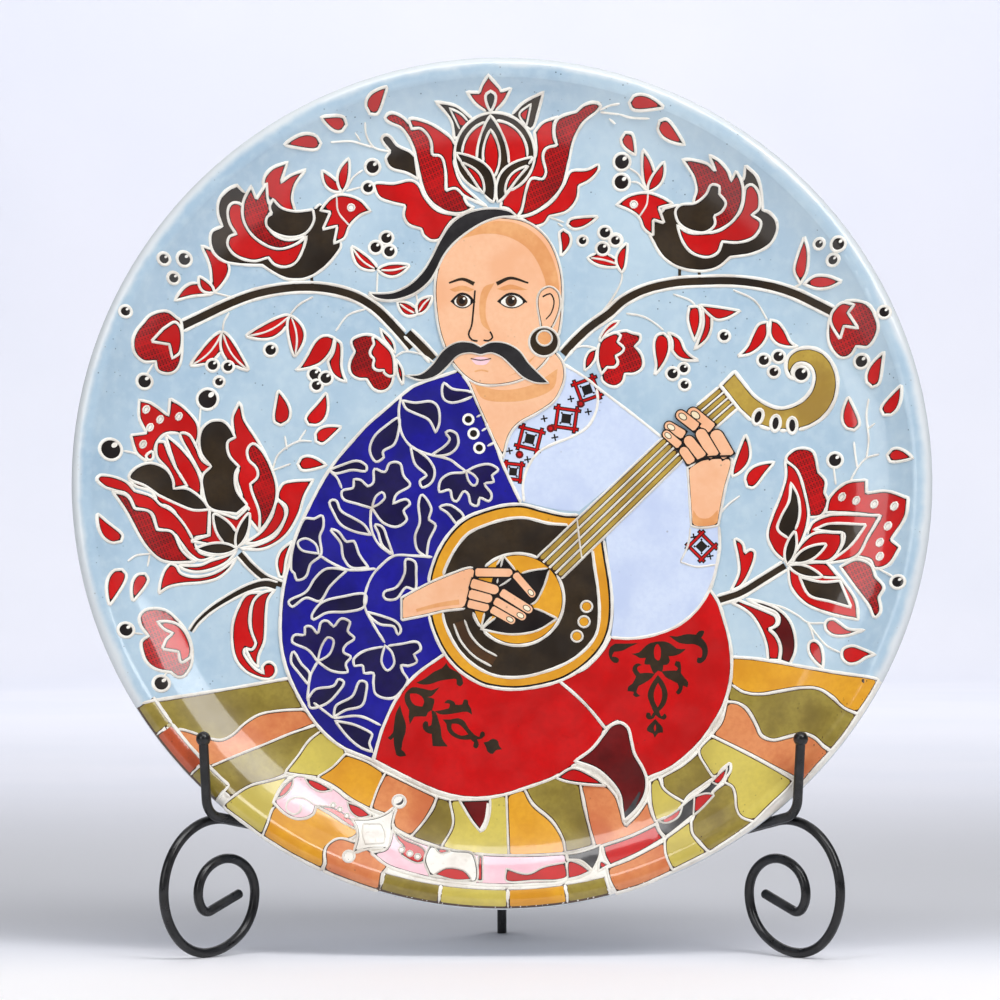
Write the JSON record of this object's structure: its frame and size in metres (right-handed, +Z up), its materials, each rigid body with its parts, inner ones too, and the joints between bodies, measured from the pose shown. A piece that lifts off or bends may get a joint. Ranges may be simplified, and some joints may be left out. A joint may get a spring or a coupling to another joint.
{
  "type": "decorative plate on folding easel",
  "caption": "Large round glazed dish with a raised lip and foot ring, standing in a folding wire easel with hooks, scroll feet and back rests.",
  "frame": {"origin": "on the table, under the middle of the whole object's box", "axes": "+Z up, the plate faces -Y, +X to the right as the plate is faced"},
  "size_m": [0.4, 0.1597, 0.4186],
  "materials": {
    "sky_glaze": "satin speckled glaze",
    "black_wire": "satin black"
  },
  "bodies": {
    "easel_post": {"rear_post": "black_wire", "post_finial": "black_wire", "stop_disc": "black_wire", "upper_collar": "black_wire", "stop_bracket": "black_wire"},
    "left_frame": {"left_hook_rod": "black_wire", "left_hook_ball": "black_wire", "left_foot_scroll": "black_wire", "left_back_rest": "black_wire", "left_lower_knuckle": "black_wire", "left_upper_knuckle": "black_wire", "left_weld_beads": "black_wire"},
    "right_frame": {"right_hook_rod": "black_wire", "right_hook_ball": "black_wire", "right_foot_scroll": "black_wire", "right_back_rest": "black_wire", "right_lower_knuckle": "black_wire", "right_upper_knuckle": "black_wire", "right_weld_beads": "black_wire"},
    "plate": {"plate_body": "sky_glaze"}
  },
  "joints": [
    {"name": "plate_lift", "type": "slide", "parent": "easel_post", "child": "plate", "axis": [0, 0, 1], "range_m": [0, 0.26]},
    {"name": "left_fold", "type": "hinge", "parent": "easel_post", "child": "left_frame", "pos_m": [0, 0.06996, 0], "axis": [0, 0, 1], "range_deg": [0, 44]},
    {"name": "right_fold", "type": "hinge", "parent": "easel_post", "child": "right_frame", "pos_m": [0, 0.06996, 0], "axis": [0, 0, 1], "range_deg": [-44, 0]}
  ],
  "couplings": [
    {"joint": "left_fold", "follows": "plate_lift", "rad_per_m": 2.95},
    {"joint": "right_fold", "follows": "plate_lift", "rad_per_m": -2.95}
  ]
}
